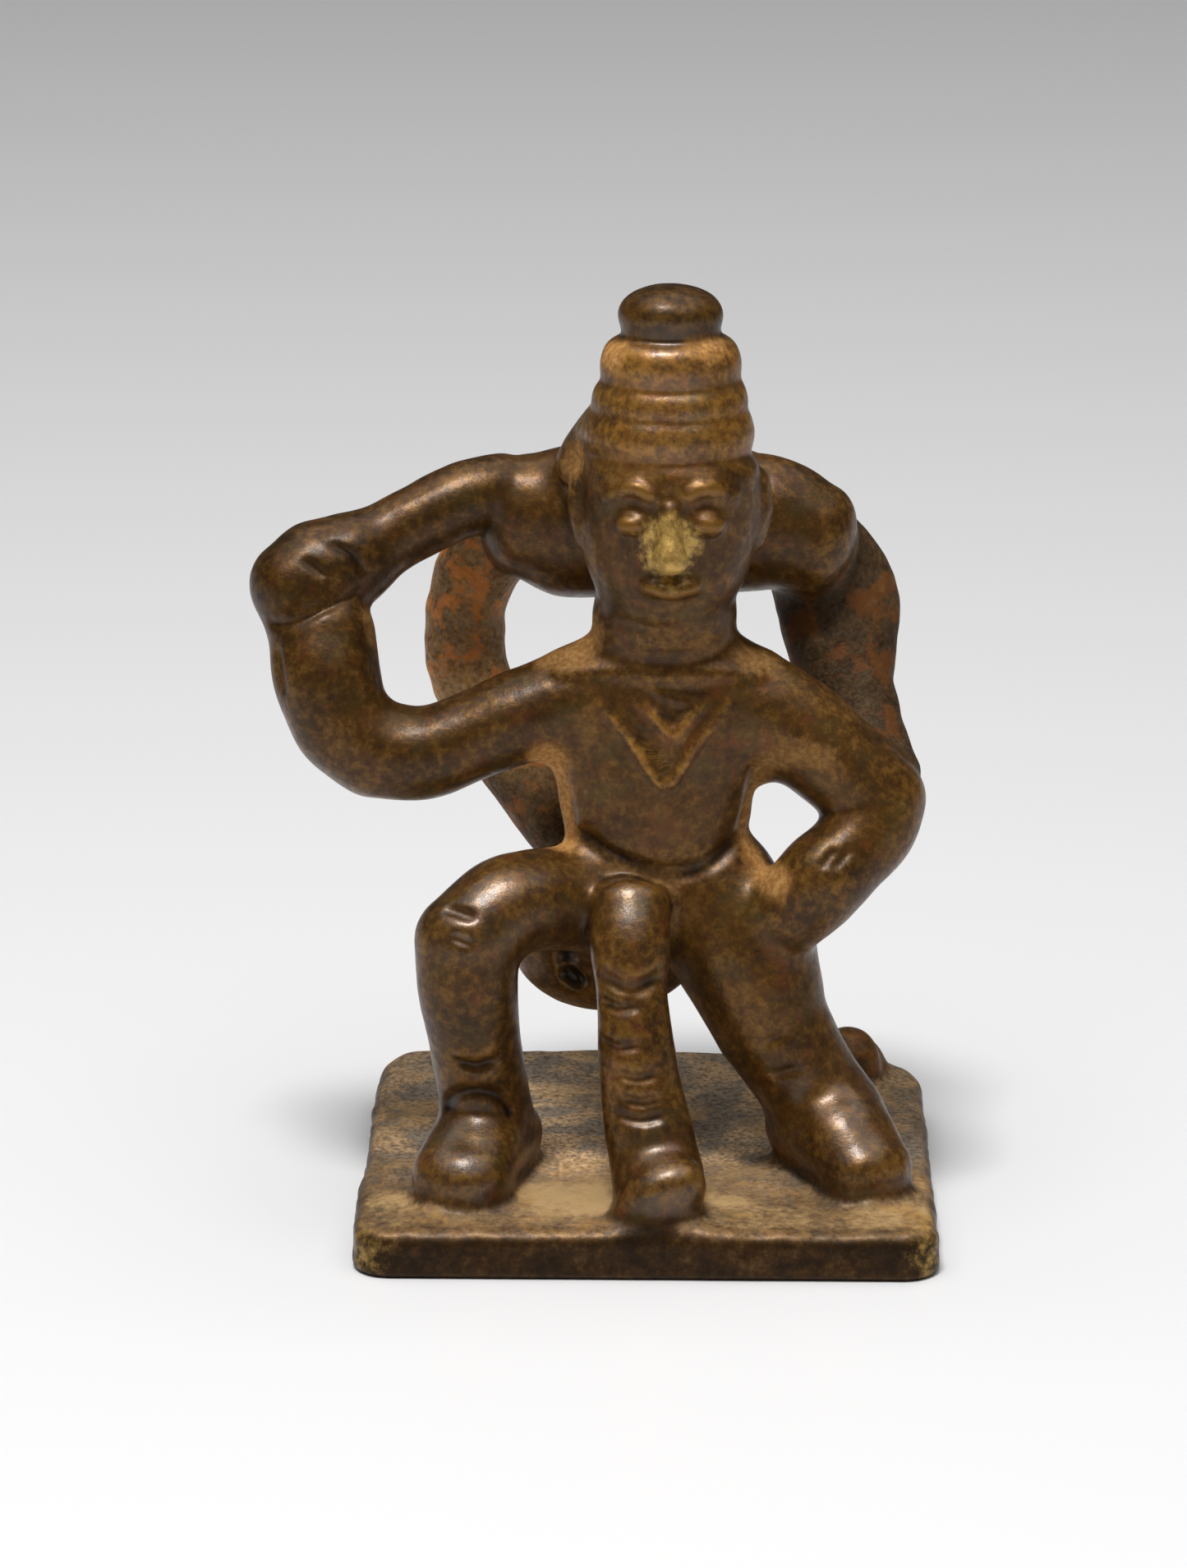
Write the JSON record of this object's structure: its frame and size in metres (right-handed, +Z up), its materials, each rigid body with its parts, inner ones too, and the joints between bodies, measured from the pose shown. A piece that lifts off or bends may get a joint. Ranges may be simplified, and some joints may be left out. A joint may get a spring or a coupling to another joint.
{
  "type": "brass deity figurine",
  "caption": "Small solid cast brass household figure in a lunge on a square plate, one hand raised with a club behind the head, the other on the hip, and a tail arched up behind.",
  "frame": {"origin": "centre of the base plate's flat underside", "axes": "+Z up the figure, -Y out of the figure's front, +X towards the figure's own left side, which is on the right of a viewer who faces it"},
  "size_m": [0.0549, 0.044, 0.0757],
  "materials": {
    "patinated_brass": "dark brown patina on cast brass, polished by handling on the proud places, ochre dust in the hollows",
    "burnished_brass": "bright yellow brass, matt where it is rubbed bare"
  },
  "bodies": {
    "root": {"base_plate": "patinated_brass", "rear_boss": "patinated_brass", "torso": "patinated_brass", "hips": "patinated_brass", "seat": "patinated_brass", "neck": "patinated_brass", "necklace_outer": "patinated_brass", "necklace_inner": "patinated_brass", "right_thigh": "patinated_brass", "right_shin": "patinated_brass", "right_foot": "patinated_brass", "left_thigh": "patinated_brass", "left_shin": "patinated_brass", "left_foot": "patinated_brass", "sash": "patinated_brass", "head": "patinated_brass", "hair_knot": "patinated_brass", "crown_lower_ring": "patinated_brass", "crown_upper_ring": "patinated_brass", "crown_tier": "patinated_brass", "crown_knob": "patinated_brass", "right_eye": "patinated_brass", "left_eye": "patinated_brass", "right_brow": "patinated_brass", "left_brow": "patinated_brass", "right_ear": "patinated_brass", "left_ear": "patinated_brass", "nose": "burnished_brass", "lips": "patinated_brass", "club_shaft": "patinated_brass", "club_head": "patinated_brass", "right_upper_arm": "patinated_brass", "right_forearm": "patinated_brass", "right_hand": "patinated_brass", "left_upper_arm": "patinated_brass", "left_forearm": "patinated_brass", "left_hand": "patinated_brass", "tail_root": "patinated_brass", "tail_rise": "patinated_brass", "tail_bend": "patinated_brass", "tail_arch": "patinated_brass", "tail_fall": "patinated_brass", "tail_tip": "patinated_brass"}
  },
  "joints": []
}
